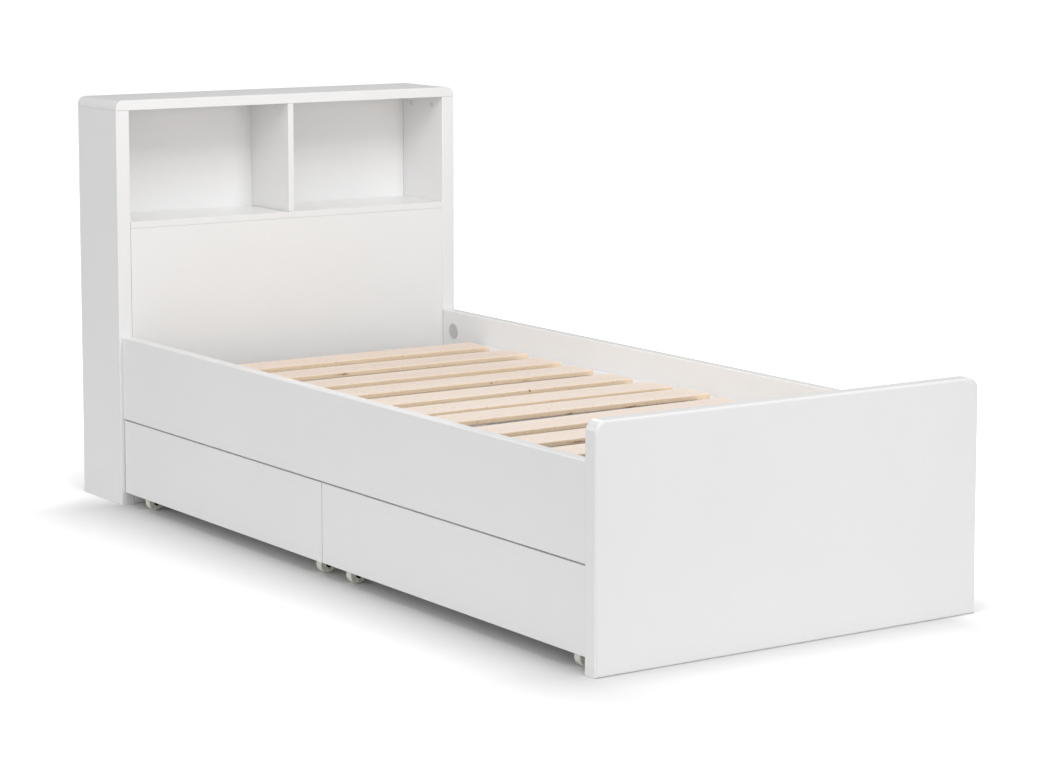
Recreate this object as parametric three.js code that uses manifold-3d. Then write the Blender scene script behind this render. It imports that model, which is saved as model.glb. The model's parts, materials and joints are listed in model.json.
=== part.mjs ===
// Wooden single bed with a bookcase headboard, a plain footboard, loose pine slats and two
// roll-out drawers on fixed castors. Millimetres, +Z up. X runs from the head (-) to the foot (+),
// the drawers face -Y, and the origin is on the floor under the middle of the bed.

import * as THREE from "three";
import { mergeVertices } from "three/addons/utils/BufferGeometryUtils.js";
import Module from "manifold-3d";

const wasm = await Module();
wasm.setup();

// ---- driving dimensions -------------------------------------------------------------------------

const touch = 0.3;                  // gap left where two pieces meet

const bed = { width: 980, innerLength: 2004 };
const board = { upright: 36, rail: 28, panel: 16 };

const headboard = { depth: 214, height: 1006 };
const plank = { thickness: 25, endRadius: 20 };
const shelf = { top: 705 };
const rearPanel = { setback: 3, bottom: 40 };
const lowerPanel = { bottom: 1 };

const footboard = { thickness: 39, height: 505, cornerRadius: 25, edgeRadius: 6 };

const rail = { top: 420.5, bottom: 216.5, wallSideBottom: 32, inset: 8 };
const ledge = { width: 70, height: 18, fromHead: 202 };

const slat = { length: 850, width: 96, thickness: 13, top: 362, pitch: 151.5, edgeRadius: 3 };
const firstSlat = 210;              // bare stretch between the headboard and the first slat
// the slats lie loose on the ledges: how far each has crept along the bed from its even place,
// how far its middle lies off the bed's centre line, and how many degrees it is turned
const slatCreep = [0, 6, 12, 10, 15, 12, -11, 0, -1, 0, 3, 0];
const slatShift = [-24, -8, -17, -25, -20, -12, 0, -14, -18, -10, -15, -6];
const slatTurn = [0, 0, 0, 0, 0, 0, 0, 1.6, 0.2, 0, 0, 0];

const drawer = {
  headLength: 970, inset: 10, bottom: 32, topGap: 3.5, endGap: 2.5, middleGap: 3,
};
const box = { depth: 780, endInset: 22, board: 12, base: 9, baseHeight: 50, top: 186 };

const wheel = {
  radius: 20, width: 21, bore: 3.3, hub: 7, rim: 3, recess: 1.4, shoulder: 1.5, inset: 17,
};
// how far the wheels' middles are from the ends of each drawer's front
const wheelsFrom = {
  head_drawer: { left: 90, right: 38 },
  foot_drawer: { left: 90, right: 54 },
};
const axle = { radius: 3, length: 29 };
const fork = { plate: 3, cheek: 2.5, sideGap: 1.2, length: 33, taper: 8, hubRadius: 7.5 };

const facets = { arc: 10, edge: 3, slatEdge: 3, turned: 28 };

// ---- places worked out from them ----------------------------------------------------------------

const length = headboard.depth + bed.innerLength + footboard.thickness;
const headBack = -length / 2;
const headFront = headBack + headboard.depth;
const footInner = headFront + bed.innerLength;
const side = bed.width / 2;
const innerSide = side - board.upright;
const plankBottom = headboard.height - plank.thickness;
const shelfBottom = shelf.top - board.panel;
const rearPanelFront = headBack + rearPanel.setback + board.panel;
const ledgeTop = slat.top - slat.thickness - touch;
const drawerFace = -side + drawer.inset;
const drawerTop = rail.bottom - drawer.topGap;
const drawersFrom = headFront + drawer.endGap;
const drawersTo = footInner - drawer.endGap;
const headDrawerTo = drawersFrom + drawer.headLength;

// ---- materials ----------------------------------------------------------------------------------

const finish = (color, roughness, metalness = 0) =>
  new THREE.MeshStandardMaterial({ color, roughness, metalness });

const white = finish(0xf1f0f0, 0.45);
const pine = finish(0xe9d6bb, 0.65);
const ivory = finish(0xdedccf, 0.5);
const charcoal = finish(0x2c2b2a, 0.5);
const steel = finish(0xb4b6b8, 0.35, 0.9);

// ---- shapes -------------------------------------------------------------------------------------

const model = new THREE.Group();

function add(name, geometry, material, parent = model) {
  const mesh = new THREE.Mesh(geometry, material);
  mesh.name = name;
  parent.add(mesh);
  return mesh;
}

// a board given by its two far corners
function slab([x0, y0, z0], [x1, y1, z1]) {
  const geometry = new THREE.BoxGeometry(x1 - x0, y1 - y0, z1 - z0);
  return geometry.translate((x0 + x1) / 2, (y0 + y1) / 2, (z0 + z1) / 2);
}

// an outline drawn in Y and Z and run along X from x0 to x1
function alongX(shape, x0, x1, edge = 0) {
  const geometry = new THREE.ExtrudeGeometry(shape, {
    depth: x1 - x0 - 2 * edge,
    curveSegments: facets.arc,
    bevelEnabled: edge > 0,
    bevelThickness: edge,
    bevelSize: edge,
    bevelOffset: -edge,
    bevelSegments: facets.edge,
  });
  const axes = new THREE.Matrix4().makeBasis(
    new THREE.Vector3(0, 1, 0), new THREE.Vector3(0, 0, 1), new THREE.Vector3(1, 0, 0));
  return geometry.applyMatrix4(axes).translate(x0 + edge, 0, 0);
}

// a rectangle in Y and Z whose two top corners are rounded
function roundTopped(y0, y1, z0, z1, radius) {
  const shape = new THREE.Shape();
  shape.moveTo(y0, z0);
  shape.lineTo(y1, z0);
  shape.lineTo(y1, z1 - radius);
  shape.absarc(y1 - radius, z1 - radius, radius, 0, Math.PI / 2);
  shape.absarc(y0 + radius, z1 - radius, radius, Math.PI / 2, Math.PI);
  shape.lineTo(y0, z0);
  return shape;
}

function rectangle(width, height, radius) {
  const x = width / 2;
  const y = height / 2;
  const shape = new THREE.Shape();
  shape.absarc(x - radius, y - radius, radius, 0, Math.PI / 2);
  shape.absarc(-x + radius, y - radius, radius, Math.PI / 2, Math.PI);
  shape.absarc(-x + radius, -y + radius, radius, Math.PI, Math.PI * 1.5);
  shape.absarc(x - radius, -y + radius, radius, Math.PI * 1.5, Math.PI * 2);
  return shape;
}

// a profile of [radius, x] points turned about the X axis
function turnedAboutX(points) {
  const profile = points.map(([radius, x]) => new THREE.Vector2(radius, x));
  return new THREE.LatheGeometry(profile, facets.turned).rotateZ(-Math.PI / 2);
}

function solid(geometry) {
  const bare = geometry.clone();
  bare.deleteAttribute("normal");
  bare.deleteAttribute("uv");
  const merged = mergeVertices(bare);
  const count = merged.attributes.position.count;
  const triVerts = merged.index
    ? Uint32Array.from(merged.index.array)
    : Uint32Array.from({ length: count }, (_, i) => i);
  const vertProperties = Float32Array.from(merged.attributes.position.array);
  return new wasm.Manifold(new wasm.Mesh({ numProp: 3, vertProperties, triVerts }));
}

function geometryOf(manifold) {
  const mesh = manifold.getMesh();
  const geometry = new THREE.BufferGeometry();
  geometry.setAttribute("position", new THREE.BufferAttribute(mesh.vertProperties, 3));
  geometry.setIndex(new THREE.BufferAttribute(mesh.triVerts, 1));
  geometry.computeVertexNormals();
  return geometry;
}

// ---- headboard ----------------------------------------------------------------------------------

function buildHeadboard() {
  for (const [name, way] of [["drawer_side", -1], ["wall_side", 1]]) {
    const outer = way * side;
    const inner = way * innerSide;
    add(`headboard_upright_${name}`, slab(
      [headBack, Math.min(outer, inner), 0],
      [headFront, Math.max(outer, inner), plankBottom - touch]), white);
  }
  add("headboard_top_plank", alongX(
    roundTopped(-side, side, plankBottom, headboard.height, plank.endRadius),
    headBack, headFront), white);

  const reach = innerSide - touch;
  add("headboard_shelf", slab(
    [rearPanelFront + touch, -reach, shelfBottom],
    [headFront, reach, shelf.top]), white);
  add("headboard_divider", slab(
    [rearPanelFront + touch, -board.panel / 2, shelf.top + touch],
    [headFront, board.panel / 2, plankBottom - touch]), white);
  add("headboard_rear_panel", slab(
    [rearPanelFront - board.panel, -reach, rearPanel.bottom],
    [rearPanelFront, reach, plankBottom - touch]), white);
  add("headboard_lower_panel", slab(
    [headFront - board.panel, -reach, lowerPanel.bottom],
    [headFront, reach, shelfBottom - touch]), white);
}

// ---- footboard, side rails and slats ------------------------------------------------------------

function buildFootboard() {
  add("footboard", alongX(
    roundTopped(-side, side, 0, footboard.height, footboard.cornerRadius),
    footInner, footInner + footboard.thickness, footboard.edgeRadius), white);
}

function buildRails() {
  const from = headFront + touch;
  const to = footInner - touch;
  for (const [name, way, bottom] of [
    ["drawer_side", -1, rail.bottom], ["wall_side", 1, rail.wallSideBottom]]) {
    const railOuter = way * (side - rail.inset);
    const railInner = railOuter - way * board.rail;
    const ledgeOuter = railInner - way * touch;
    const ledgeInner = ledgeOuter - way * ledge.width;
    add(`side_rail_${name}`, slab(
      [from, Math.min(railOuter, railInner), bottom],
      [to, Math.max(railOuter, railInner), rail.top]), white);
    add(`slat_ledge_${name}`, slab(
      [headFront + ledge.fromHead, Math.min(ledgeOuter, ledgeInner), ledgeTop - ledge.height],
      [to, Math.max(ledgeOuter, ledgeInner), ledgeTop]), white);
  }
}

// a slat lies across the bed: its section, with eased long edges, is run along Y
function slatGeometry() {
  const geometry = new THREE.ExtrudeGeometry(
    rectangle(slat.width, slat.thickness, slat.edgeRadius),
    { depth: slat.length, bevelEnabled: false, curveSegments: facets.slatEdge });
  return geometry.rotateX(Math.PI / 2).translate(0, slat.length / 2, 0);
}

function buildSlats() {
  const geometry = slatGeometry();
  const firstCentre = headFront + firstSlat + slat.width / 2;
  slatCreep.forEach((creep, i) => {
    const mesh = add(`slat_${String(i + 1).padStart(2, "0")}`, geometry, pine);
    mesh.position.set(
      firstCentre + i * slat.pitch + creep, slatShift[i], slat.top - slat.thickness / 2);
    mesh.rotation.z = THREE.MathUtils.degToRad(slatTurn[i]);
  });
}

// ---- drawers ------------------------------------------------------------------------------------

// tyre, recessed face and hub of one wheel, bored for its axle
function wheelGeometry() {
  const { radius, width, bore } = wheel;
  const half = width / 2;
  const hub = wheel.hub;
  const rim = radius - wheel.rim;
  const recess = half - wheel.recess;
  const tyre = radius - wheel.shoulder;
  const shoulder = half - wheel.shoulder;
  return turnedAboutX([
    [bore, half], [bore, -half], [hub, -half], [hub, -recess], [rim, -recess], [rim, -half],
    [tyre, -half], [radius, -shoulder], [radius, shoulder], [tyre, half],
    [rim, half], [rim, recess], [hub, recess], [hub, half], [bore, half],
  ]);
}

function axleGeometry() {
  const half = axle.length / 2;
  return turnedAboutX([[0, -half], [axle.radius, -half], [axle.radius, half], [0, half]]);
}

// a plate under the drawer's base with a cheek down each side of the wheel
function forkGeometry() {
  const top = box.baseHeight - touch - wheel.radius;
  const inside = wheel.width / 2 + fork.sideGap;
  const outside = inside + fork.cheek;
  const half = fork.length / 2;
  const plate = slab([-outside, -half, top - fork.plate], [outside, half, top]);

  const cheek = new THREE.Shape();
  const holeRadius = axle.radius + touch;
  cheek.moveTo(half - fork.taper, top - fork.plate / 2);
  cheek.lineTo(fork.taper - half, top - fork.plate / 2);
  cheek.absarc(0, 0, fork.hubRadius, Math.PI, Math.PI * 2);
  cheek.lineTo(half - fork.taper, top - fork.plate / 2);
  const hole = new THREE.Path();
  hole.absarc(0, 0, holeRadius, 0, Math.PI * 2, true);
  cheek.holes.push(hole);

  return geometryOf(solid(plate)
    .add(solid(alongX(cheek, inside, outside)))
    .add(solid(alongX(cheek, -outside, -inside))));
}

function buildCastors(name, group, x0, x1) {
  const boxFront = drawerFace + board.panel;
  const front = boxFront + wheel.inset;
  const back = boxFront + box.depth - wheel.inset;
  const left = x0 + wheelsFrom[name].left;
  const right = x1 - wheelsFrom[name].right;
  const places = {
    front_left: [left, front],
    front_right: [right, front],
    back_left: [left, back],
    back_right: [right, back],
  };
  const parts = [
    ["castor_fork", forkGeometry(), charcoal],
    ["wheel", wheelGeometry(), ivory],
    ["axle", axleGeometry(), steel],
  ];
  for (const [corner, [x, y]] of Object.entries(places)) {
    for (const [part, geometry, material] of parts) {
      add(`${name}_${part}_${corner}`, geometry, material, group).position.set(
        x, y, wheel.radius);
    }
  }
}

// one drawer whose front runs from x0 to x1; left and right are as seen facing it
function buildDrawer(name, x0, x1) {
  const group = new THREE.Group();
  const left = x0 + box.endInset;
  const right = x1 - box.endInset;
  const front = drawerFace + board.panel;
  const back = front + box.depth;
  const low = box.baseHeight + box.base + touch;

  add(`${name}_front`, slab(
    [x0, drawerFace, drawer.bottom], [x1, front - touch, drawerTop]), white, group);
  add(`${name}_base`, slab(
    [left, front, box.baseHeight], [right, back, box.baseHeight + box.base]), white, group);
  add(`${name}_side_left`, slab(
    [left, front, low], [left + box.board, back, box.top]), white, group);
  add(`${name}_side_right`, slab(
    [right - box.board, front, low], [right, back, box.top]), white, group);
  add(`${name}_back`, slab(
    [left + box.board + touch, back - box.board, low],
    [right - box.board - touch, back, box.top]), white, group);
  buildCastors(name, group, x0, x1);
  model.add(group);
}

// ---- the bed ------------------------------------------------------------------------------------

buildHeadboard();
buildFootboard();
buildRails();
buildSlats();
buildDrawer("head_drawer", drawersFrom, headDrawerTo);
buildDrawer("foot_drawer", headDrawerTo + drawer.middleGap, drawersTo);

export default model;
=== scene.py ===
"""Looks for the white storage bed: every board, slat, castor and fitting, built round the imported
CAD model, with its materials, a pale floor, soft studio light and the camera."""

import json
import math
import random

import bmesh
import bpy
from mathutils import Matrix, Vector


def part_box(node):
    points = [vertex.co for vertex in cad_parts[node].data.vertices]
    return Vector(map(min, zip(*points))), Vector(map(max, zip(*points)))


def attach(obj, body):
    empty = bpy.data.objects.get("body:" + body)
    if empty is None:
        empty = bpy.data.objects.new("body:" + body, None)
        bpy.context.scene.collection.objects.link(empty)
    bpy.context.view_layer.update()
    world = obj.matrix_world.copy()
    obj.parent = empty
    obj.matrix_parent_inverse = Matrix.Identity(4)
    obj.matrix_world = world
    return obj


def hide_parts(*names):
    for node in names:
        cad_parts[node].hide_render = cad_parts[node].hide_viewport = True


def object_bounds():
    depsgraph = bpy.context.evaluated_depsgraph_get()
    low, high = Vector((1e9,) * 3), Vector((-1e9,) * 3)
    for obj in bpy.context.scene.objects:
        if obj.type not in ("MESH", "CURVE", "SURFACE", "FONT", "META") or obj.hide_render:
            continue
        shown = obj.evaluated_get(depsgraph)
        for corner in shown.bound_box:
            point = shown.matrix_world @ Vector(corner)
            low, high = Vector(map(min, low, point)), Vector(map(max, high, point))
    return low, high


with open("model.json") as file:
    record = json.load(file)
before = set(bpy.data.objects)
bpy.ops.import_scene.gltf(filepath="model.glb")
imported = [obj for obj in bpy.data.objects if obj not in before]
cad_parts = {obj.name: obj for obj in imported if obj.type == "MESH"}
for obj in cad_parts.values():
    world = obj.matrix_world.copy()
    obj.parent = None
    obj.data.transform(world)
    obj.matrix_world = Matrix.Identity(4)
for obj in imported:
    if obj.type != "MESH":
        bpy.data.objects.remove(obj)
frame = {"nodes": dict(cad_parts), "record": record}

CAD_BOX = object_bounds()
MM = 0.001
BODY_OF = {n: b for b, nodes in frame["record"]["behaviour"]["bodies"].items() for n in nodes}
SLOT_OF = {s["node"]: s["material_slot"] for s in frame["record"]["subparts"]}
SIDES = ("drawer_side", "wall_side")
DRAWERS = ("head_drawer", "foot_drawer")
CORNERS = ("front_left", "front_right", "back_left", "back_right")

# ---- sizes that only the finished look needs, in metres ------------------------------------------

EDGE = {"panel": 0.8 * MM, "upright": 2.5 * MM, "rail": 2.5 * MM, "front": 0.6 * MM}
JOINT_EDGE = 0.4 * MM                # edges where two boards are drawn tightly together
PLANK_END = 20 * MM
FOOT_CORNER = 25 * MM
FOOT_EDGE = 6 * MM

SLAT_SECTION = (96 * MM, 13 * MM)
SLAT_EDGE = 3.0 * MM
SLAT_EASE = 1.2 * MM                 # how far the rims of the sawn ends are eased
SLAT_STATIONS = 26                   # stretches that a slat's length is drawn in
SLAT_SEED = 11

COVER = {"radius": 20 * MM, "proud": 2.4 * MM, "from_end": 53 * MM, "height": 369 * MM}
CAM = {"radius": 7.5 * MM, "proud": 0.9 * MM}
CAM_PLACES = (62 * MM, 163 * MM)     # from the headboard's back
CAM_BELOW_PLANK = 24 * MM
DRAWER_CAM_INSET = 34 * MM           # from the drawer front
DRAWER_CAM_HEIGHTS = (0.3, 0.7)      # as shares of the drawer side's height
# a screw's head and the cross cut into it, which are narrower at the bottom by a share
SCREW = {"radius": 3.6 * MM, "depth": 1.4 * MM, "narrowing": 0.62, "proud": 0.15 * MM,
         "sides": 24}
CROSS = {"half": 0.8 * MM, "reach": 2.3 * MM, "depth": 1.2 * MM, "narrowing": 0.55}
PANEL_SCREWS = (-0.86, -0.3, 0.3, 0.86)   # along the shelf, as shares of the panel's half width
DIVIDER_SCREW_RISE = 80 * MM         # from the divider's middle, up and down

WHEEL = {"bore": 3.3 * MM, "hub": 7.0 * MM, "tread": 3 * MM, "recess": 1.4 * MM,
         "ribs": 6, "rib_rise": 0.9 * MM, "rib_cosine": 0.80}
FORK = {"plate": 3 * MM, "cheek": 2.5 * MM, "hub": 7.5 * MM, "taper": 8 * MM, "edge": 0.5 * MM}
PLATE_SCREW_INSET = 5 * MM

SHARP = math.radians(38)             # edges that turn more than this stay sharp
TINY = 1e-6


# ---- places read from the CAD model --------------------------------------------------------------

def centre_of(node):
    low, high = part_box(node)
    return (Vector(low) + Vector(high)) / 2


def slat_ends(node):
    """The middles of a slat's two ends, from its CAD mesh, because it may lie at an angle."""
    corners = {tuple(round(c, 6) for c in v.co) for v in frame["nodes"][node].data.vertices}
    middle = centre_of(node).y
    ends = []
    for way in (-1, 1):
        ring = [Vector(c) for c in corners if (c[1] - middle) * way > 0]
        ends.append(sum(ring, Vector()) / len(ring))
    return ends


SLATS = sorted(n for n in frame["nodes"] if n.startswith("slat_") and "ledge" not in n)
SLAT_PITCH = (centre_of(SLATS[-1]).x - centre_of(SLATS[0]).x) / (len(SLATS) - 1)


# ---- node trees ----------------------------------------------------------------------------------

class Nodes:
    """A short way to write the node tree of a material or of the world."""

    def __init__(self, owner, output="OutputMaterial"):
        owner.use_nodes = True
        self.owner = owner
        self.tree = owner.node_tree
        self.tree.nodes.clear()
        self.output = self.add(output)

    def add(self, kind, inputs=None, **settings):
        node = self.tree.nodes.new("ShaderNode" + kind)
        for key, value in settings.items():
            setattr(node, key, value)
        for key, value in (inputs or {}).items():
            self.set(node, key, value)
        return node

    def set(self, node, key, value):
        socket = node.inputs[key]
        if isinstance(value, bpy.types.NodeSocket):
            self.tree.links.new(value, socket)
        else:
            socket.default_value = value

    def math(self, operation, a, b=0.0):
        return self.add("Math", {0: a, 1: b}, operation=operation).outputs[0]

    def vector(self, operation, a, b=(0.0, 0.0, 0.0)):
        node = self.add("VectorMath", {0: a, 1: b}, operation=operation)
        return node.outputs["Value" if operation in ("LENGTH", "DOT_PRODUCT") else "Vector"]

    def noise(self, vector, scale, detail=3.0, rough=0.5, distortion=0.0):
        node = self.add("TexNoise", {"Vector": vector, "Scale": scale, "Detail": detail,
                                     "Roughness": rough, "Distortion": distortion})
        return node.outputs["Fac"]

    def stretch(self, vector, scale):
        node = self.add("Mapping", {"Vector": vector, "Scale": scale})
        return node.outputs["Vector"]

    def range(self, value, low, high, to_low=0.0, to_high=1.0, kind="LINEAR"):
        node = self.add("MapRange", {"Value": value, "From Min": low, "From Max": high,
                                     "To Min": to_low, "To Max": to_high},
                        interpolation_type=kind)
        return node.outputs["Result"]

    def blend(self, factor, a, b):
        node = self.add("Mix", data_type="RGBA")
        self.set(node, 0, factor)
        self.set(node, 6, a)
        self.set(node, 7, b)
        return node.outputs[2]

    def surface(self, color, rough, height=None, bump=0.1, distance=0.2 * MM, **principled):
        """The Principled shader that ends the tree, with an optional bump."""
        shader = self.add("BsdfPrincipled", {"Base Color": color, "Roughness": rough})
        for key, value in principled.items():
            self.set(shader, key.replace("_", " "), value)
        if height is not None:
            node = self.add("Bump", {"Height": height, "Strength": bump, "Distance": distance})
            self.set(shader, "Normal", node.outputs["Normal"])
        self.set(self.output, "Surface", shader.outputs["BSDF"])
        return self.owner


def material(name):
    """A new material's nodes, and the place in the bed's frame, in metres, that they work from."""
    nodes = Nodes(bpy.data.materials.new(name))
    return nodes, nodes.add("TexCoord").outputs["Object"]


def dimmed(tone, share):
    return tuple(c * share for c in tone[:3]) + (1.0,)


# ---- materials -----------------------------------------------------------------------------------

def painted_board(name, tone, rough, orange_peel, lacquer):
    """Sprayed white paint on board: soft cloudiness, fine orange peel and uneven gloss, under a
    thin coat of lacquer."""
    n, where = material(name)
    cloudy = n.range(n.noise(where, 3.5, detail=2.0), 0.3, 0.7)
    color = n.blend(cloudy, dimmed(tone, 0.985), tone)
    smear = n.noise(where, 22.0, detail=4.0, rough=0.6)
    gloss = n.range(smear, 0.25, 0.75, rough - 0.035, rough + 0.035)
    peel = n.noise(where, 520.0, detail=2.0, rough=0.45)
    swell = n.noise(where, 60.0, detail=1.0)
    height = n.math("ADD", n.math("MULTIPLY", peel, 0.35), swell)
    return n.surface(color, gloss, height, bump=orange_peel, distance=0.25 * MM,
                     Coat_Weight=lacquer, Coat_Roughness=0.12)


PINE = {
    "pale": (0.90, 0.78, 0.685, 1.0), "cream": (0.94, 0.83, 0.745, 1.0),
    # side: the narrow faces' tone, partly the wood's own and partly painted shade between the slats
    "late": (0.78, 0.62, 0.47, 1.0), "side": (0.90, 0.70, 0.47, 1.0),
    "rosy": (0.95, 0.76, 0.63, 1.0),
    "halo": (0.72, 0.46, 0.30, 1.0), "knot": (0.20, 0.10, 0.05, 1.0),
}


def knot_mask(n, where, place, size):
    """1 at the heart of a knot, falling to 0 at the rim of its ellipsoid."""
    scaled = n.vector("DIVIDE", n.vector("SUBTRACT", where, place), size)
    return n.range(n.vector("LENGTH", scaled), 0.0, 1.0, 1.0, 0.0)


def from_other_wood(n, where, x):
    """The place moved by a random step of each slat's own, so that no two have the same grain."""
    slat = n.math("FLOOR", n.math("MULTIPLY", x, 1.0 / SLAT_PITCH))
    draw = n.add("TexWhiteNoise", {"W": slat}, noise_dimensions="1D").outputs["Color"]
    return n.vector("ADD", where, n.vector("MULTIPLY", draw, (7.0, 3.0, 5.0)))


def with_side_tone_and_painted_shade(n, color):
    """A deeper, yellower tone on the narrow faces and the ends: partly the sawn wood's own tone,
    partly painted shade from between the slats.
    """
    normal = n.add("SeparateXYZ", {"Vector": n.add("NewGeometry").outputs["Normal"]})
    upright = n.range(n.math("ABSOLUTE", normal.outputs["Z"]), 0.35, 0.9, 1.0, 0.0, "SMOOTHSTEP")
    return n.blend(n.math("MULTIPLY", upright, 0.75), color, PINE["side"])


def with_knots(n, where, color, knots):
    """Ragged dark knots in reddish halos, each given as (place, half sizes, depth of tone)."""
    ragged = n.range(n.noise(n.stretch(where, (1.0, 0.5, 1.0)), 160.0), 0.3, 0.7, -0.16, 0.16)
    for place, size, tone in knots:
        heart = n.math("ADD", knot_mask(n, where, place, size), ragged)
        halo = n.range(heart, 0.05, 0.5, 0.0, 0.55 * tone, "SMOOTHSTEP")
        color = n.blend(halo, color, PINE["halo"])
        dark = n.range(heart, 0.42, 0.72, 0.0, tone, "SMOOTHSTEP")
        color = n.blend(dark, color, PINE["knot"])
    return color


def pine(name, knots):
    """Planed pine, its grain along Y: growth rings, fine fibres and pale faces, rosier towards
    the head of the bed."""
    n, where = material(name)
    x = n.add("SeparateXYZ", {"Vector": where}).outputs["X"]
    moved = from_other_wood(n, where, x)
    along = n.stretch(moved, (1.0, 0.07, 1.0))
    sway = n.range(n.noise(along, 9.0, detail=2.0), 0.3, 0.7)
    rings = n.add("TexWave", {"Vector": along, "Scale": 16.0, "Distortion": 8.0, "Detail": 2.5,
                              "Detail Scale": 1.1, "Detail Roughness": 0.55},
                  wave_type="BANDS", bands_direction="X", wave_profile="SAW").outputs["Fac"]
    fibres = n.noise(n.stretch(moved, (1.0, 0.02, 1.0)), 900.0, detail=3.0)
    late = n.range(rings, 0.45, 1.0, kind="SMOOTHSTEP")

    color = n.blend(sway, PINE["pale"], PINE["cream"])
    color = n.blend(n.range(x, -0.75, 0.1, 0.5, 0.0), color, PINE["rosy"])
    color = n.blend(n.math("MULTIPLY", late, 0.30), color, PINE["late"])
    color = n.blend(n.range(fibres, 0.35, 0.8, 0.0, 0.18), color, PINE["late"])
    # the narrow faces and ends get a deeper tone, partly painted shade from between the slats
    color = with_knots(n, where, with_side_tone_and_painted_shade(n, color), knots)

    gloss = n.range(fibres, 0.2, 0.8, 0.5, 0.68)
    height = n.math("ADD", n.math("MULTIPLY", late, 0.5), n.math("MULTIPLY", fibres, 0.6))
    return n.surface(color, gloss, height, bump=0.22, distance=0.15 * MM, Specular_IOR_Level=0.35)


def moulded(name, tone, rough):
    """Moulded plastic: a faint flow pattern and a fine spark-eroded texture."""
    n, where = material(name)
    flow = n.range(n.noise(where, 90.0, detail=3.0, distortion=0.6), 0.3, 0.7)
    color = n.blend(flow, dimmed(tone, 0.94), tone)
    grain = n.noise(where, 2600.0, detail=1.0)
    gloss = n.range(grain, 0.3, 0.7, rough - 0.05, rough + 0.06)
    return n.surface(color, gloss, grain, bump=0.18, distance=0.08 * MM)


def zinc(name):
    """Bright zinc plate, slightly cloudy, with fine spangle."""
    n, where = material(name)
    cloud = n.range(n.noise(where, 420.0, detail=3.0), 0.3, 0.7)
    color = n.blend(cloud, (0.50, 0.51, 0.52, 1.0), (0.68, 0.69, 0.70, 1.0))
    spangle = n.noise(where, 3000.0, detail=1.0)
    gloss = n.range(cloud, 0.0, 1.0, 0.24, 0.38)
    return n.surface(color, gloss, spangle, bump=0.1, distance=0.03 * MM, Metallic=1.0)


def slat_knots():
    """Knots in the slats: each is the slat's number, its place along Y, how far in from the slat's
    foot-end face, its height above the slat's middle, its half sizes, all in mm, and its depth of
    tone."""
    drawn = [
        (1, -140, 3, 1, (10, 20, 7), 0.14), (2, -134, 1, 2, (6, 46, 5), 0.2),
        (2, -121, 1, 2, (6, 26, 4), 0.5), (2, -62, 40, 7, (5, 14, 6), 0.2),
        (4, 104, 1, 1, (4, 6, 6), 0.55), (4, 200, 0, -1, (5, 26, 6), 0.22),
        (5, 107, 0, 4, (4, 5, 7), 0.8), (6, -172, 36, 7, (4, 7, 4), 0.35),
        (7, 28, 0, -6.5, (6, 30, 8), 1.0), (7, 196, 0, -6.5, (6, 40, 8), 1.0),
        (7, 268, 5, 6, (4, 5, 4), 0.4), (9, -165, 0, -1, (6, 46, 4), 0.65),
        (10, 240, 30, 7, (9, 12, 9), 0.8), (11, -60, 60, 7, (7, 9, 9), 0.85),
        (12, 90, 25, 0, (8, 11, 12), 0.8),
    ]
    knots = []
    for number, y, inset, above, half_sizes, tone in drawn:
        centre = centre_of(SLATS[number - 1])
        face = centre.x + SLAT_SECTION[0] / 2
        knots.append(((face - inset * MM, y * MM, centre.z + above * MM),
                      tuple(h * MM for h in half_sizes), tone))
    return knots


MATERIALS = {
    "white_board": painted_board("white_board", (0.90, 0.898, 0.897, 1.0), 0.34, 0.10, 0.4),
    "drawer_board": painted_board("drawer_board", (0.87, 0.867, 0.86, 1.0), 0.50, 0.16, 0.0),
    "pine": pine("pine", slat_knots()),
    "castor_plastic": moulded("castor_plastic", (0.022, 0.021, 0.019, 1.0), 0.42),
    "wheel_plastic": moulded("wheel_plastic", (0.78, 0.78, 0.70, 1.0), 0.45),
    "cover_grey": moulded("cover_grey", (0.60, 0.58, 0.58, 1.0), 0.5),
    "cam_cover": moulded("cam_cover", (0.76, 0.75, 0.74, 1.0), 0.5),
    "axle_steel": zinc("axle_steel"),
    "screw_steel": zinc("screw_steel"),
}


# ---- making pieces -------------------------------------------------------------------------------

def mesh_data(name, mesh):
    """A bmesh as mesh data; the bmesh is freed."""
    data = bpy.data.meshes.new(name)
    mesh.to_mesh(data)
    mesh.free()
    return data


def add_object(name, data):
    made = bpy.data.objects.new(name, data)
    bpy.context.collection.objects.link(made)
    return made


def piece(name, mesh, slot, body, *nodes, look=None):
    """Turns a bmesh into a shaded piece that rides on a body and may stand for CAD nodes.

    Its material is the one named like its slot, unless look names another."""
    bmesh.ops.recalc_face_normals(mesh, faces=mesh.faces)
    data = mesh_data(name, mesh)
    for polygon in data.polygons:
        polygon.use_smooth = True
    data.set_sharp_from_angle(angle=SHARP)
    data.materials.append(MATERIALS[look or slot])
    made = add_object(name, data)
    weighted = made.modifiers.new("flat faces stay flat", "WEIGHTED_NORMAL")
    weighted.keep_sharp = True
    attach(made, body)
    if nodes:
        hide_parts(*nodes)
    return made


def stand_for(node, mesh):
    """A piece that takes over a CAD node's place, body and material slot."""
    return piece(f"{node}_look", mesh, SLOT_OF[node], BODY_OF[node], node)


def round_edges(mesh, edges, radius, segments):
    bmesh.ops.bevel(mesh, geom=edges, offset=radius, offset_type="OFFSET", segments=segments,
                    profile=0.5, affect="EDGES", clamp_overlap=True)


def slab_mesh(low, high, edge, segments=3):
    """A board with every edge rounded."""
    mesh = bmesh.new()
    size = Vector(high) - Vector(low)
    place = Matrix.Translation((Vector(high) + Vector(low)) / 2)
    bmesh.ops.create_cube(mesh, size=1.0, matrix=place @ Matrix.Diagonal((*size, 1.0)))
    round_edges(mesh, mesh.edges[:], edge, segments)
    return mesh


def board(node, edge):
    low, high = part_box(node)
    return stand_for(node, slab_mesh(low, high, edge))


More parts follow.
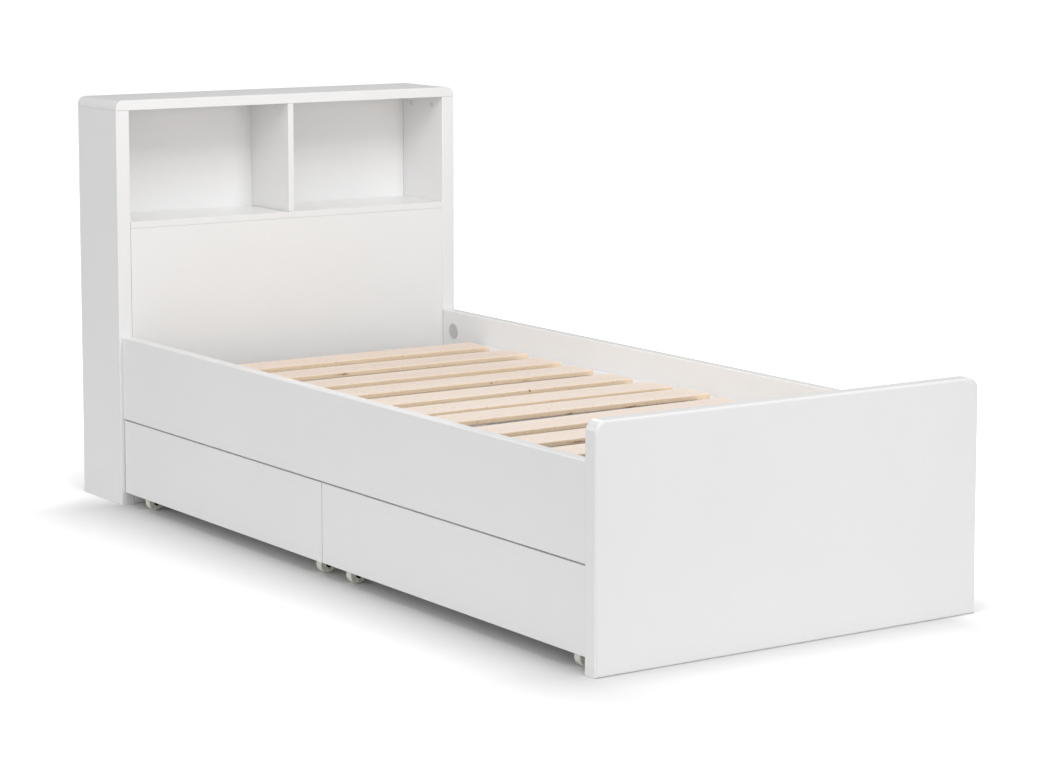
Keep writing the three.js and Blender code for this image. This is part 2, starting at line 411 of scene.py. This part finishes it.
def plate_mesh(outline, axis, start, end, edge, segments):
    """An outline in the other two axes run along X or Z (0 or 2), with its faces' rims rounded."""
    mesh = bmesh.new()
    corners = []
    for point in outline:
        corner = list(point)
        corner.insert(axis, start)
        corners.append(mesh.verts.new(corner))
    extruded = bmesh.ops.extrude_face_region(mesh, geom=[mesh.faces.new(corners)])["geom"]
    way = Vector((0.0, 0.0, 0.0))
    way[axis] = end - start
    moved = [v for v in extruded if isinstance(v, bmesh.types.BMVert)]
    bmesh.ops.translate(mesh, verts=moved, vec=way)
    rims = [e for e in mesh.edges if abs(e.verts[0].co[axis] - e.verts[1].co[axis]) < TINY]
    round_edges(mesh, rims, edge, segments)
    return mesh


def arc(centre, radius, start, turn, steps):
    """Points round a centre, from the angle start through turn, both in quarter turns."""
    quarter = math.pi / 2
    angles = (quarter * (start + turn * i / steps) for i in range(steps + 1))
    return [(centre[0] + radius * math.cos(a), centre[1] + radius * math.sin(a)) for a in angles]


def rounded_rectangle(low, high, radius):
    """The outline of a rectangle from its low to its high corner, with all four rounded."""
    (a0, b0), (a1, b1) = low, high
    outline = []
    for i, centre in enumerate(((a1 - radius, b1 - radius), (a0 + radius, b1 - radius),
                                (a0 + radius, b0 + radius), (a1 - radius, b0 + radius))):
        outline += arc(centre, radius, i, 1, 4)
    return outline


def round_topped(node, radius, edge):
    """A board across the bed whose two top corners are round."""
    (x0, y0, z0), (x1, y1, z1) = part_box(node)
    outline = [(y0, z0), (y1, z0)]
    outline += arc((y1 - radius, z1 - radius), radius, 0, 1, 14)
    outline += arc((y0 + radius, z1 - radius), radius, 1, 1, 14)
    return stand_for(node, plate_mesh(outline, 0, x0, x1, edge, segments=6))


def standing_board(node, edge, end_edge):
    """A standing board: rounded upright edges, and nearly sharp ones top and bottom."""
    (x0, y0, z0), (x1, y1, z1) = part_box(node)
    outline = rounded_rectangle((x0, y0), (x1, y1), edge)
    return stand_for(node, plate_mesh(outline, 2, z0, z1, end_edge, segments=2))


def facing(place, axis):
    """The matrix that takes the origin to place and +Z to axis."""
    turn = Vector((0, 0, 1)).rotation_difference(Vector(axis)).to_matrix().to_4x4()
    return Matrix.Translation(place) @ turn


def skin(mesh, rings):
    """Faces between neighbouring rings of vertices; a ring of one vertex is a point."""
    for a, b in zip(rings, rings[1:]):
        count = max(len(a), len(b))
        for i in range(count):
            j = (i + 1) % count
            corners = [a[i % len(a)], a[j % len(a)], b[j % len(b)], b[i % len(b)]]
            mesh.faces.new(list(dict.fromkeys(corners)))


def turned(profile, place, axis, segments=48, depth=None):
    """A profile of (radius, along) points turned about an axis through place.

    depth(angle, radius, along) may move a point along the axis, for ribs and slots."""
    mesh = bmesh.new()
    matrix = facing(place, axis)
    rings = []
    for radius, along in profile:
        if radius < TINY:
            rings.append([mesh.verts.new(matrix @ Vector((0.0, 0.0, along)))])
            continue
        ring = []
        for i in range(segments):
            a = 2 * math.pi * i / segments
            shift = depth(a, radius, along) if depth else 0.0
            ring.append(mesh.verts.new(
                matrix @ Vector((radius * math.cos(a), radius * math.sin(a), along + shift))))
        rings.append(ring)
    skin(mesh, rings)
    return mesh


# ---- headboard, footboard and rails --------------------------------------------------------------

def make_boards():
    for side in SIDES:
        standing_board(f"headboard_upright_{side}", EDGE["upright"], JOINT_EDGE)
        board(f"side_rail_{side}", EDGE["rail"])
        board(f"slat_ledge_{side}", EDGE["panel"])
    for node in ("shelf", "divider", "rear_panel", "lower_panel"):
        board(f"headboard_{node}", EDGE["panel"])
    round_topped("headboard_top_plank", PLANK_END, JOINT_EDGE * 2)
    round_topped("footboard", FOOT_CORNER, FOOT_EDGE)


def cover_profile(radius, proud):
    """A shallow cap with a rounded rim and a very slight dish."""
    return [(radius * 0.985, -0.2 * MM), (radius, proud * 0.45), (radius * 0.975, proud * 0.85),
            (radius * 0.93, proud), (radius * 0.84, proud * 0.93), (radius * 0.45, proud * 0.80),
            (0.0, proud * 0.76)]


def cam_cover(name, place, axis, body):
    mesh = turned(cover_profile(CAM["radius"], CAM["proud"]), place, axis, segments=32)
    piece(name, mesh, "cover_grey", body, look="cam_cover")


def inner_face(node, way):
    """The Y of the face of a board that looks in the given way along Y, 1 or -1."""
    low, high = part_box(node)
    return high[1] if way > 0 else low[1]


def make_rail_covers(side, way):
    """Grey covers over the bolts at both ends of a side rail."""
    low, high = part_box("side_rail_drawer_side")
    face = inner_face(f"side_rail_{side}", way)
    ends = {"head": low[0] + COVER["from_end"], "foot": high[0] - COVER["from_end"]}
    for end, x in ends.items():
        mesh = turned(cover_profile(COVER["radius"], COVER["proud"]),
                      (x, face, COVER["height"]), (0, way, 0))
        piece(f"rail_bolt_cover_{end}_{side}", mesh, "cover_grey", "bed")


def make_plank_covers(side, way):
    """Cam covers under the plank, on the inside of a headboard upright."""
    face = inner_face(f"headboard_upright_{side}", way)
    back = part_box("headboard_upright_drawer_side")[0][0]
    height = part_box("headboard_top_plank")[0][2] - CAM_BELOW_PLANK
    for i, x in enumerate(CAM_PLACES):
        cam_cover(f"plank_cam_cover_{i + 1}_{side}", (back + x, face, height), (0, way, 0), "bed")


def make_covers():
    for side, way in zip(SIDES, (1, -1)):
        make_rail_covers(side, way)
        make_plank_covers(side, way)


# ---- slats ---------------------------------------------------------------------------------------

def stray(chance):
    """How far one slat is bowed, cupped, twisted and wandering, and where the wander starts."""
    return {"bow": chance.uniform(0.2, 1.4) * MM, "cup": chance.uniform(-0.5, 0.5) * MM,
            "twist": chance.uniform(-0.6, 0.6) * MM, "wander": chance.uniform(0.3, 0.9) * MM,
            "phase": chance.uniform(0.0, 2 * math.pi)}


def strayed(x, along, z, length, by):
    """A point of a straight slat where it really is; none sinks below the ledges."""
    u = 2 * along / length
    s = x / (SLAT_SECTION[0] / 2)
    lift = (by["bow"] * (1 - u * u) + by["cup"] * (1 - s * s) * (1 - u * u)
            + by["twist"] * u * s * 0.5)
    drift = by["wander"] * math.sin(by["phase"] + 2.2 * u) * (1 - u * u)
    return Vector((x + drift, along, z + max(lift, 0.0)))


def make_slat(node, chance):
    """One slat: eased edges, sawn ends, a little bow, cup and unevenness like real stock."""
    near, far = slat_ends(node)
    centre, length = (near + far) / 2, (far - near).length
    turn = (far - near).xy.angle_signed(Vector((0.0, 1.0)))
    place = Matrix.Translation(centre) @ Matrix.Rotation(turn, 4, "Z")
    by = stray(chance)
    inner = [(i / SLAT_STATIONS - 0.5) * (length - 2 * SLAT_EASE)
             for i in range(SLAT_STATIONS + 1)]
    mesh = bmesh.new()
    rings = []
    for along in (-length / 2, *inner, length / 2):
        inset = SLAT_EASE if abs(along) == length / 2 else 0.0
        corner = tuple(full / 2 - inset for full in SLAT_SECTION)
        outline = rounded_rectangle((-corner[0], -corner[1]), corner, SLAT_EDGE)
        rings.append([mesh.verts.new(place @ strayed(x, along, z, length, by))
                      for x, z in outline])
    skin(mesh, rings)
    mesh.faces.new(rings[0][::-1])
    mesh.faces.new(rings[-1])
    return stand_for(node, mesh)


def make_slats():
    chance = random.Random(SLAT_SEED)
    for node in SLATS:
        make_slat(node, chance)


# ---- screws --------------------------------------------------------------------------------------

def closed_loop(mesh, points):
    verts = [mesh.verts.new(p) for p in points]
    return verts, [mesh.edges.new((verts[i - 1], verts[i])) for i in range(len(verts))]


def sink(mesh, verts, size):
    """Walls from a flat loop down to a smaller floor."""
    share = size["narrowing"]
    floor = [mesh.verts.new((v.co.x * share, v.co.y * share, -size["depth"])) for v in verts]
    for i in range(len(verts)):
        mesh.faces.new((verts[i - 1], verts[i], floor[i], floor[i - 1]))
    mesh.faces.new(floor)


def screw_mesh(place, axis):
    """A countersunk head with a cross recess, its top face at place, looking along axis."""
    radius, half, reach = SCREW["radius"], CROSS["half"], CROSS["reach"]
    mesh = bmesh.new()
    angles = (2 * math.pi * i / SCREW["sides"] for i in range(SCREW["sides"]))
    rim = [(radius * math.cos(a), radius * math.sin(a), 0.0) for a in angles]
    cross = []
    for quarter in range(4):
        spin = Matrix.Rotation(quarter * math.pi / 2, 3, "Z")
        cross += [spin @ Vector(p) for p in ((reach, -half, 0.0), (reach, half, 0.0),
                                             (half, half, 0.0))]
    rim_verts, rim_edges = closed_loop(mesh, rim)
    cross_verts, cross_edges = closed_loop(mesh, cross)
    bmesh.ops.triangle_fill(mesh, edges=rim_edges + cross_edges, use_beauty=True)
    middle = [f for f in mesh.faces if all(v in cross_verts for v in f.verts)]
    bmesh.ops.delete(mesh, geom=middle, context="FACES_ONLY")
    sink(mesh, cross_verts, CROSS)
    sink(mesh, rim_verts, SCREW)
    bmesh.ops.transform(mesh, matrix=facing(place, axis), verts=mesh.verts[:])
    return mesh


def make_screws():
    """Screws that hold the rear panel to the shelf and the divider."""
    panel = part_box("headboard_rear_panel")
    shelf, divider = centre_of("headboard_shelf"), centre_of("headboard_divider")
    places = [(share * panel[1][1], shelf.z) for share in PANEL_SCREWS]
    places += [(divider.y, divider.z + way * DIVIDER_SCREW_RISE) for way in (-1, 1)]
    for i, (y, z) in enumerate(places):
        mesh = screw_mesh((panel[0][0] - SCREW["proud"], y, z), (-1, 0, 0))
        piece(f"rear_panel_screw_{i + 1}", mesh, "screw_steel", "bed")


# ---- drawers -------------------------------------------------------------------------------------

def ribs_between(inner, outer, recess):
    """A depth function for turned: ribs that rise from both recessed faces of a wheel."""

    def depth(angle, radius, along):
        if not inner < radius < outer or abs(along) > recess + TINY:
            return 0.0
        on_rib = math.cos(angle * WHEEL["ribs"]) > WHEEL["rib_cosine"]
        return math.copysign(WHEEL["rib_rise"], along) if on_rib else 0.0

    return depth


def make_wheel(node):
    """A moulded wheel: crowned tread with a mould line, shallow ribbed faces and a hub."""
    low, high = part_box(node)
    radius = (high[2] - low[2]) / 2
    half = (high[0] - low[0]) / 2
    hub, rim, recess = WHEEL["hub"], radius - WHEEL["tread"], half - WHEEL["recess"]
    face = [(WHEEL["bore"], half), (hub - 0.4 * MM, half), (hub, half - 0.4 * MM), (hub, recess),
            (hub + 1.0 * MM, recess), (rim - 1.0 * MM, recess), (rim, recess + 0.3 * MM),
            (rim, half - 0.6 * MM), (rim + 0.5 * MM, half - 0.1 * MM),
            (radius - 1.8 * MM, half - 0.1 * MM), (radius - 0.7 * MM, half - 0.7 * MM),
            (radius - 0.2 * MM, half - 2.0 * MM), (radius, half - 5.0 * MM),
            (radius, 0.25 * MM), (radius - 0.12 * MM, 0.0)]
    mirrored = [(r, -x) for r, x in face[-2::-1]]
    mesh = turned(face + mirrored + [face[0]], centre_of(node), (1, 0, 0), segments=72,
                  depth=ribs_between(hub + 0.6 * MM, rim - 0.6 * MM, recess))
    bmesh.ops.remove_doubles(mesh, verts=mesh.verts[:], dist=1e-7)
    return stand_for(node, mesh)


def make_axle(node):
    """A steel pin with domed ends."""
    low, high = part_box(node)
    r, half = (high[2] - low[2]) / 2, (high[0] - low[0]) / 2
    side = [(0.0, half), (r * 0.5, half - 0.12 * MM), (r * 0.85, half - 0.5 * MM),
            (r, half - 1.1 * MM)]
    profile = side + [(p, -x) for p, x in side[::-1]]
    return stand_for(node, turned(profile, centre_of(node), (1, 0, 0), segments=32))


def make_fork(node, axle_node):
    """A plate with a tapering cheek down each side of the wheel."""
    (x0, y0, z0), (x1, y1, z1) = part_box(node)
    centre = centre_of(axle_node)
    cheek, taper, edge = FORK["cheek"], FORK["taper"], FORK["edge"]
    underside = z1 - FORK["plate"]
    outline = [(y1 - taper, underside), (y0 + taper, underside)]
    outline += arc((centre.y, centre.z), FORK["hub"], 2, 2, 16)
    mesh = slab_mesh((x0, y0, underside), (x1, y1, z1), edge, 2)
    for start in (x0, x1 - cheek):
        join(mesh, plate_mesh(outline, 0, start, start + cheek, edge, segments=2))
    return stand_for(node, mesh)


def join(mesh, other):
    """Adds a bmesh to another and frees it."""
    carrier = mesh_data("carrier", other)
    mesh.from_mesh(carrier)
    bpy.data.meshes.remove(carrier)


def make_drawer(name):
    board(f"{name}_front", EDGE["front"])
    for part in ("back", "side_left", "side_right", "base"):
        board(f"{name}_{part}", EDGE["panel"])
    for corner in CORNERS:
        make_wheel(f"{name}_wheel_{corner}")
        make_axle(f"{name}_axle_{corner}")
        make_fork(f"{name}_castor_fork_{corner}", f"{name}_axle_{corner}")
        make_plate_screws(name, corner)
    make_drawer_covers(name)


def make_drawer_covers(name):
    """Cam covers inside both drawer sides, near the front."""
    for part, way in (("side_left", 1), ("side_right", -1)):
        low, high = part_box(f"{name}_{part}")
        face = high[0] if way > 0 else low[0]
        for i, share in enumerate(DRAWER_CAM_HEIGHTS):
            place = (face, low[1] + DRAWER_CAM_INSET, low[2] + (high[2] - low[2]) * share)
            cam_cover(f"{name}_{part}_cam_cover_{i + 1}", place, (way, 0, 0), name)


def make_plate_screws(name, corner):
    low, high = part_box(f"{name}_castor_fork_{corner}")
    x, z = (low[0] + high[0]) / 2, high[2] - FORK["plate"] - SCREW["proud"]
    for i, y in enumerate((low[1] + PLATE_SCREW_INSET, high[1] - PLATE_SCREW_INSET)):
        piece(f"{name}_castor_screw_{corner}_{i + 1}", screw_mesh((x, y, z), (0, 0, -1)),
              "screw_steel", name)


# ---- the studio ----------------------------------------------------------------------------------

CAMERA = {"place": (5.860, -3.822, 1.510), "azimuth": 56.123, "down": 6.778, "lens": 104.28,
          "sensor": 36.0, "shift_y": -0.12, "clip_end": 300.0}
# the light that comes evenly from all round, and in soft lobes from these directions
EVEN_LIGHT = 0.06
LOBES = [((0.0, -1.0, 0.0), 0.83), ((0.0, 1.0, 0.0), 0.75), ((-1.0, 0.0, 0.0), 0.30),
         ((0.0, 0.0, 1.0), 0.21), ((0.7, -0.7, 0.14), 0.72)]
BACKDROP = 1.05
# how pale the floor looks to the camera under the bed, a little way off it and far away, and
# those two ways: the darker tone under and near the bed is a painted shadow
FLOOR_SEEN_WITH_PAINTED_SHADOW = (0.80, 1.40, 2.15)
FLOOR_SHADOW_AND_PALING_REACH = (0.36, 2.0)
# how far inside the bed's box the painted shadow starts to fade, and how many times as fast as
# in front it fades, first towards the head end and the drawer side, then towards the foot end and
# the wall side
FLOOR_SHADOW_START = ((0.22, 0.0, 0.0), (-0.10, -0.10, 0.0))
FLOOR_SHADOW_FADE_RATES = ((2.0, 1.0, 0.0), (0.6, 3.0, 0.0))
FLOOR_BOUNCE = 0.80
FLOOR_RADIUS = 90.0
FLOOR_DROP = 0.2 * MM


def make_camera():
    data = bpy.data.cameras.new("camera")
    data.lens, data.sensor_width = CAMERA["lens"], CAMERA["sensor"]
    data.shift_y = CAMERA["shift_y"]
    data.clip_end = CAMERA["clip_end"]
    camera = add_object("camera", data)
    camera.location = CAMERA["place"]
    camera.rotation_euler = (math.radians(90 - CAMERA["down"]), 0.0,
                             math.radians(CAMERA["azimuth"]))
    bpy.context.scene.camera = camera


def painted_shadow_distance(n, where):
    """How far a place on the floor lies outside most of the bed's footprint, counted as many times
    over on each side as the painted shadow round the bed fades faster there."""
    low, high = (Vector(corner) + Vector(start) for corner, start in zip(CAD_BOX, FLOOR_SHADOW_START))
    short_of = n.vector("MULTIPLY", n.vector("SUBTRACT", low, where), FLOOR_SHADOW_FADE_RATES[0])
    past = n.vector("MULTIPLY", n.vector("SUBTRACT", where, high), FLOOR_SHADOW_FADE_RATES[1])
    return n.vector("LENGTH", n.vector("MAXIMUM", n.vector("MAXIMUM", short_of, past)))


def floor_with_painted_shadow():
    """Even white to bounced light, but to the camera it carries a painted shadow under and near the
    bed, paler the farther it lies from the bed.
    """
    n, where = material("floor")
    seen = n.add("LightPath").outputs["Is Camera Ray"]
    away = painted_shadow_distance(n, where)
    painted_shadow_tone, off, far = FLOOR_SEEN_WITH_PAINTED_SHADOW
    # painted shadow: to the camera the floor is darker under and near the bed, paler farther off
    shown = n.math("ADD", n.range(away, 0.0, FLOOR_SHADOW_AND_PALING_REACH[0], painted_shadow_tone, off),
                   n.range(away, *FLOOR_SHADOW_AND_PALING_REACH, 0.0, far - off))
    tone = n.range(seen, 0.0, 1.0, FLOOR_BOUNCE, shown)
    n.set(n.output, "Surface", n.add("BsdfDiffuse", {"Color": tone}).outputs["BSDF"])
    return n.owner


def make_floor():
    mesh = bmesh.new()
    bmesh.ops.create_circle(mesh, cap_ends=True, radius=FLOOR_RADIUS, segments=96,
                            matrix=Matrix.Translation((0, 0, -FLOOR_DROP)))
    data = mesh_data("floor", mesh)
    data.materials.append(floor_with_painted_shadow())
    floor = add_object("floor", data)


def make_world():
    """A white studio: even light with broad soft lobes, behind a backdrop that is plain white."""
    n = Nodes(bpy.data.worlds.new("studio"), "OutputWorld")
    towards = n.add("TexCoord").outputs["Generated"]
    strength = EVEN_LIGHT
    for direction, power in LOBES:
        aligned = n.math("MAXIMUM", n.vector("DOT_PRODUCT", towards, direction), 0.0)
        lobe = n.math("MULTIPLY", n.math("MULTIPLY", aligned, aligned), power)
        strength = n.math("ADD", lobe, strength)
    seen = n.add("LightPath").outputs["Is Camera Ray"]
    level = n.range(seen, 0.0, 1.0, strength, BACKDROP)
    white = n.add("Background", {"Color": (1.0, 1.0, 1.0, 1.0), "Strength": level})
    n.set(n.output, "Surface", white.outputs["Background"])
    bpy.context.scene.world = n.owner


def softbox(name, place, target, width, height, watts):
    data = bpy.data.lights.new(name, "AREA")
    data.shape, data.size, data.size_y = "RECTANGLE", width, height
    data.energy = watts
    light = add_object(name, data)
    light.location = place
    light.rotation_euler = (Vector(target) - Vector(place)).to_track_quat("-Z", "Y").to_euler()
    light.visible_camera = False


def make_lights():
    softbox("front", (4.5, 0.4, 1.2), (-1.0, 0.0, 0.85), 2.0, 1.4, 36)
    softbox("over_foot_end", (1.0, -0.3, 2.7), (-1.0, 0.1, 0.5), 1.8, 1.2, 32)
    softbox("rim_drawer_side", (-3.2, -3.4, 1.7), (0.6, -0.3, 0.4), 0.6, 1.4, 6)
    softbox("rim_wall_side", (-3.7, 1.6, 3.4), (0.6, 0.0, 0.4), 1.4, 0.6, 14)


make_boards()
make_covers()
make_slats()
make_screws()
for drawer in DRAWERS:
    make_drawer(drawer)
make_camera()
make_floor()
make_world()
make_lights()
bpy.context.scene.view_settings.view_transform = "Standard"
